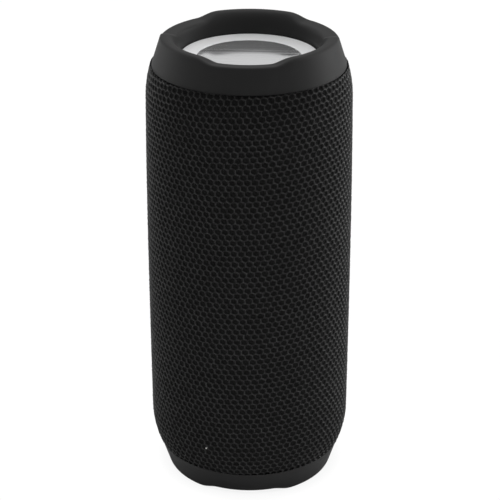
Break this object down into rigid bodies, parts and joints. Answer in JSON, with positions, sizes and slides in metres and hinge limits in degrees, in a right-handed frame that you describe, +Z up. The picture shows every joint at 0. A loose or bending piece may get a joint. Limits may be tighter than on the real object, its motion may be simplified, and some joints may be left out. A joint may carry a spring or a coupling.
{
  "type": "portable bluetooth speaker",
  "caption": "Upright cylindrical speaker in a dark knit sleeve, with wavy rubber end rings around silver passive radiators and a rear spine of keys and a flap over its ports.",
  "frame": {"origin": "centre of the plane that the bottom ring stands on", "axes": "+Z up along the cylinder, -Y out of the front where the drivers face, +Y out of the rear spine with the keys and ports"},
  "size_m": [0.078, 0.0782, 0.178],
  "materials": {
    "knit_fabric": "charcoal acoustic knit over an open mesh",
    "soft_rubber": "soft-touch matt rubber",
    "spun_aluminium": "brushed, satin",
    "soft_plastic": "soft-touch matt paint on plastic",
    "key_rubber": "moulded, matt",
    "black_plastic": "moulded, fine texture",
    "foam_rubber": "closed-cell foam",
    "surround_rubber": "moulded, smooth",
    "screw_steel": "zinc plated",
    "driver_steel": "black plated",
    "ferrite": "sintered, grey",
    "cone_paper": "coated pulp",
    "spider_cloth": "resin-dipped cloth",
    "coil_copper": "enamelled copper wire on a former",
    "circuit_board": "solder mask",
    "chip_plastic": "moulded package",
    "plated_shell": "nickel plated",
    "cell_wrap": "shrink-wrapped cell",
    "clear_plastic": "clear, polished",
    "wire_jacket": "insulated wire"
  },
  "bodies": {
    "chassis": {"aux_jack": "black_plastic", "battery_cell": "cell_wrap", "battery_cradle": "black_plastic", "bluetooth_module": "plated_shell", "board_components": "chip_plastic", "board_fasteners": "screw_steel", "bottom_end_ring": "soft_rubber", "bottom_radiator_frame": "black_plastic", "card_slot": "plated_shell", "charge_port": "plated_shell", "driver_gaskets": "foam_rubber", "driver_screws": "screw_steel", "driver_top_plates": "driver_steel", "driver_yokes": "driver_steel", "fabric_sleeve": "knit_fabric", "flap_hinge_pin": "screw_steel", "front_housing": "black_plastic", "grille_shell": "black_plastic", "housing_screws": "screw_steel", "housing_seal": "foam_rubber", "key_board": "circuit_board", "light_pipes": "clear_plastic", "lower_driver_basket": "driver_steel", "lower_driver_magnet": "ferrite", "main_board": "circuit_board", "radiator_gaskets": "foam_rubber", "radiator_screws": "screw_steel", "rear_housing": "black_plastic", "rear_spine": "soft_plastic", "speaker_wires": "wire_jacket", "spine_screws": "screw_steel", "status_led": "clear_plastic", "tact_switches": "chip_plastic", "top_end_ring": "soft_rubber", "top_radiator_frame": "black_plastic", "upper_driver_basket": "driver_steel", "upper_driver_magnet": "ferrite"},
    "upper_cone": {"upper_driver_cone": "cone_paper", "upper_driver_dust_cap": "cone_paper", "upper_driver_voice_coil": "coil_copper", "upper_driver_surround": "surround_rubber", "upper_driver_spider": "spider_cloth"},
    "lower_cone": {"lower_driver_cone": "cone_paper", "lower_driver_dust_cap": "cone_paper", "lower_driver_voice_coil": "coil_copper", "lower_driver_surround": "surround_rubber", "lower_driver_spider": "spider_cloth"},
    "top_radiator": {"top_radiator_plate": "spun_aluminium", "top_radiator_weight": "driver_steel", "top_radiator_surround": "surround_rubber"},
    "bottom_radiator": {"bottom_radiator_plate": "spun_aluminium", "bottom_radiator_weight": "driver_steel", "bottom_radiator_surround": "surround_rubber"},
    "power_key": {"power_button": "key_rubber"},
    "volume_up_key": {"volume_up_button": "key_rubber"},
    "play_key": {"play_button": "key_rubber"},
    "volume_down_key": {"volume_down_button": "key_rubber"},
    "mode_key": {"mode_button": "key_rubber"},
    "flap": {"port_flap": "key_rubber", "flap_gasket": "foam_rubber"}
  },
  "joints": [
    {"name": "top_radiator_travel", "type": "slide", "parent": "chassis", "child": "top_radiator", "axis": [0, 0, 1], "range_m": [-0.003, 0.003], "stiffness_N_per_m": 600, "deforming": ["top_radiator_surround"]},
    {"name": "bottom_radiator_travel", "type": "slide", "parent": "chassis", "child": "bottom_radiator", "axis": [0, 0, -1], "range_m": [-0.003, 0.003], "stiffness_N_per_m": 600, "deforming": ["bottom_radiator_surround"]},
    {"name": "upper_cone_travel", "type": "slide", "parent": "chassis", "child": "upper_cone", "axis": [0, -1, 0], "range_m": [-0.0015, 0.0015], "stiffness_N_per_m": 1500, "deforming": ["upper_driver_surround", "upper_driver_spider"]},
    {"name": "lower_cone_travel", "type": "slide", "parent": "chassis", "child": "lower_cone", "axis": [0, -1, 0], "range_m": [-0.0015, 0.0015], "stiffness_N_per_m": 1500, "deforming": ["lower_driver_surround", "lower_driver_spider"]},
    {"name": "power_press", "type": "slide", "parent": "chassis", "child": "power_key", "axis": [0, -1, 0], "range_m": [0, 0.0006], "stiffness_N_per_m": 1200},
    {"name": "volume_up_press", "type": "slide", "parent": "chassis", "child": "volume_up_key", "axis": [0, -1, 0], "range_m": [0, 0.0006], "stiffness_N_per_m": 1200},
    {"name": "play_press", "type": "slide", "parent": "chassis", "child": "play_key", "axis": [0, -1, 0], "range_m": [0, 0.0006], "stiffness_N_per_m": 1200},
    {"name": "volume_down_press", "type": "slide", "parent": "chassis", "child": "volume_down_key", "axis": [0, -1, 0], "range_m": [0, 0.0006], "stiffness_N_per_m": 1200},
    {"name": "mode_press", "type": "slide", "parent": "chassis", "child": "mode_key", "axis": [0, -1, 0], "range_m": [0, 0.0006], "stiffness_N_per_m": 1200},
    {"name": "flap_hinge", "type": "hinge", "parent": "chassis", "child": "flap", "pos_m": [0, 0.0377, 0.029], "axis": [-1, 0, 0], "range_deg": [0, 90]}
  ]
}
